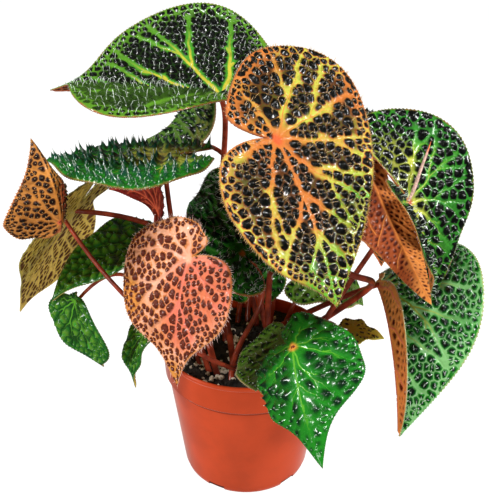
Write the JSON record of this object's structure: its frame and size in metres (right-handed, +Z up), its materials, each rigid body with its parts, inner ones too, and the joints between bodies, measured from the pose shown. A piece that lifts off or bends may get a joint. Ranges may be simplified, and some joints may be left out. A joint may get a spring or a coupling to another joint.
{
  "type": "potted begonia",
  "caption": "Potted begonia with heart-shaped, strongly bullate leaves on bent stalks, rooted in perlite soil in a tapered plastic nursery pot.",
  "frame": {"origin": "centre of the pot's flat base, on the surface it stands on", "axes": "+Z up along the pot's axis, -Y towards the side the picture was taken from, +X to that viewer's right"},
  "size_m": [0.3229, 0.3504, 0.32],
  "materials": {
    "pot_plastic": "satin",
    "potting_soil": "rough",
    "blade_top_left": "satin",
    "stalk_top_left": "satin",
    "blade_centre_front": "satin",
    "stalk_centre_front": "satin",
    "blade_small_top": "satin",
    "stalk_small_top": "satin",
    "blade_left_mid": "satin",
    "stalk_left_mid": "satin",
    "blade_young_red": "satin",
    "stalk_young_red": "satin",
    "blade_far_left": "satin",
    "stalk_far_left": "satin",
    "blade_left_olive": "satin",
    "stalk_left_olive": "satin",
    "blade_left_low": "satin",
    "stalk_left_low": "satin",
    "blade_pink_front": "satin",
    "stalk_pink_front": "satin",
    "blade_left_hanging": "satin",
    "stalk_left_hanging": "satin",
    "blade_left_small": "satin",
    "stalk_left_small": "satin",
    "blade_centre_dark": "satin",
    "stalk_centre_dark": "satin",
    "blade_front_green": "satin",
    "stalk_front_green": "satin",
    "blade_front_dark": "satin",
    "stalk_front_dark": "satin",
    "blade_right_top": "satin",
    "stalk_right_top": "satin",
    "blade_right_folded": "satin",
    "stalk_right_folded": "satin",
    "blade_right_low": "satin",
    "stalk_right_low": "satin",
    "blade_right_olive": "satin",
    "stalk_right_olive": "satin",
    "blade_back_low": "satin",
    "stalk_back_low": "satin",
    "blade_back_high": "satin",
    "stalk_back_high": "satin",
    "blade_back_left": "satin",
    "stalk_back_left": "satin",
    "blade_back_right": "satin",
    "stalk_back_right": "satin",
    "blade_back_mid": "satin",
    "stalk_back_mid": "satin"
  },
  "bodies": {
    "root": {"pot": "pot_plastic", "soil": "potting_soil", "blade_top_left": "blade_top_left", "stalk_top_left": "stalk_top_left", "blade_centre_front": "blade_centre_front", "stalk_centre_front": "stalk_centre_front", "blade_small_top": "blade_small_top", "stalk_small_top": "stalk_small_top", "blade_left_mid": "blade_left_mid", "stalk_left_mid": "stalk_left_mid", "blade_young_red": "blade_young_red", "stalk_young_red": "stalk_young_red", "blade_far_left": "blade_far_left", "stalk_far_left": "stalk_far_left", "blade_left_olive": "blade_left_olive", "stalk_left_olive": "stalk_left_olive", "blade_left_low": "blade_left_low", "stalk_left_low": "stalk_left_low", "blade_pink_front": "blade_pink_front", "stalk_pink_front": "stalk_pink_front", "blade_left_hanging": "blade_left_hanging", "stalk_left_hanging": "stalk_left_hanging", "blade_left_small": "blade_left_small", "stalk_left_small": "stalk_left_small", "blade_centre_dark": "blade_centre_dark", "stalk_centre_dark": "stalk_centre_dark", "blade_front_green": "blade_front_green", "stalk_front_green": "stalk_front_green", "blade_front_dark": "blade_front_dark", "stalk_front_dark": "stalk_front_dark", "blade_right_top": "blade_right_top", "stalk_right_top": "stalk_right_top", "blade_right_folded": "blade_right_folded", "stalk_right_folded": "stalk_right_folded", "blade_right_low": "blade_right_low", "stalk_right_low": "stalk_right_low", "blade_right_olive": "blade_right_olive", "stalk_right_olive": "stalk_right_olive", "blade_back_low": "blade_back_low", "stalk_back_low": "stalk_back_low", "blade_back_high": "blade_back_high", "stalk_back_high": "stalk_back_high", "blade_back_left": "blade_back_left", "stalk_back_left": "stalk_back_left", "blade_back_right": "blade_back_right", "stalk_back_right": "stalk_back_right", "blade_back_mid": "blade_back_mid", "stalk_back_mid": "stalk_back_mid"}
  },
  "joints": []
}
